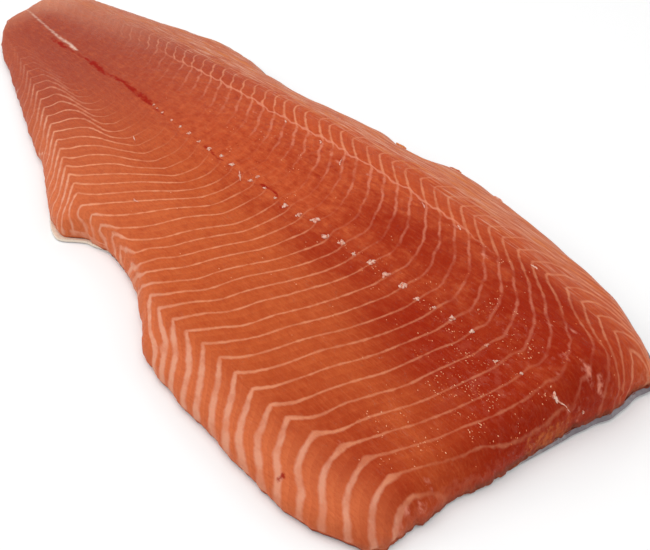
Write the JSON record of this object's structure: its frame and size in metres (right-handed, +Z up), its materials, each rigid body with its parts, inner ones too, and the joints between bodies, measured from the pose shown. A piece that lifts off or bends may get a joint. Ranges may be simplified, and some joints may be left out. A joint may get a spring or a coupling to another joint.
{
  "type": "raw salmon fillet",
  "caption": "Whole raw side of salmon lying skin down: a crowned slab of orange flesh with pale lines, a row of pin bones, a notch in the belly edge, and thin silvery skin underneath.",
  "frame": {"origin": "on the surface that the fillet lies on, under the middle of its outline seen from above", "axes": "+X along the fish towards the head cut, +Y across it towards the back edge, +Z up, flesh side up"},
  "size_m": [0.5514, 0.2166, 0.0352],
  "materials": {
    "flesh": "wet raw flesh, orange with pale lines",
    "skin": "damp silvery fish skin, darker towards the back"
  },
  "bodies": {
    "root": {"flesh": "flesh", "skin": "skin"}
  },
  "joints": []
}
